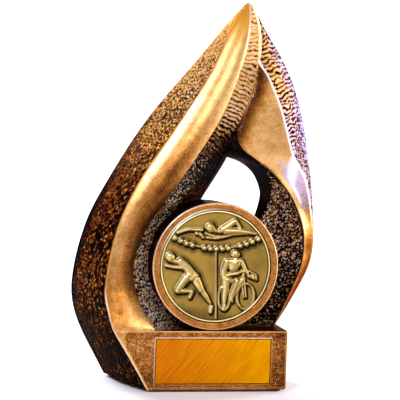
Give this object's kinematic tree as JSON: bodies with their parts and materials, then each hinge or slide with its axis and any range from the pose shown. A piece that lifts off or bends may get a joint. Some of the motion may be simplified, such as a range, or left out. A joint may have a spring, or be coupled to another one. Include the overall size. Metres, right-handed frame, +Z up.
{
  "type": "flame trophy with medal centre",
  "caption": "Cast flame-shaped sports finisher award: two twisted arms close over a round holder with a struck medal, on a block base with a blank engraving plate.",
  "frame": {"origin": "on the felt's resting face, under the medal's centre line in X and half way through the base block's depth in Y", "axes": "+Z up to the flame's tip, -Y out of the medal's face, +X to the right of someone who looks at the medal"},
  "size_m": [0.1106, 0.0455, 0.175],
  "materials": {
    "antique_copper_resin": "satin antique copper paint over cast polyresin",
    "antique_brass": "satin antique brass",
    "foam_tape": "matte",
    "gold_plate": "diagonally brushed gold",
    "adhesive_film": "matte",
    "black_felt": "matte"
  },
  "bodies": {
    "root": {"flame_casting": "antique_copper_resin", "medal_disc": "antique_brass", "medal_adhesive_pad": "foam_tape", "engraving_plate": "gold_plate", "plate_adhesive": "adhesive_film", "base_felt": "black_felt"}
  },
  "joints": []
}
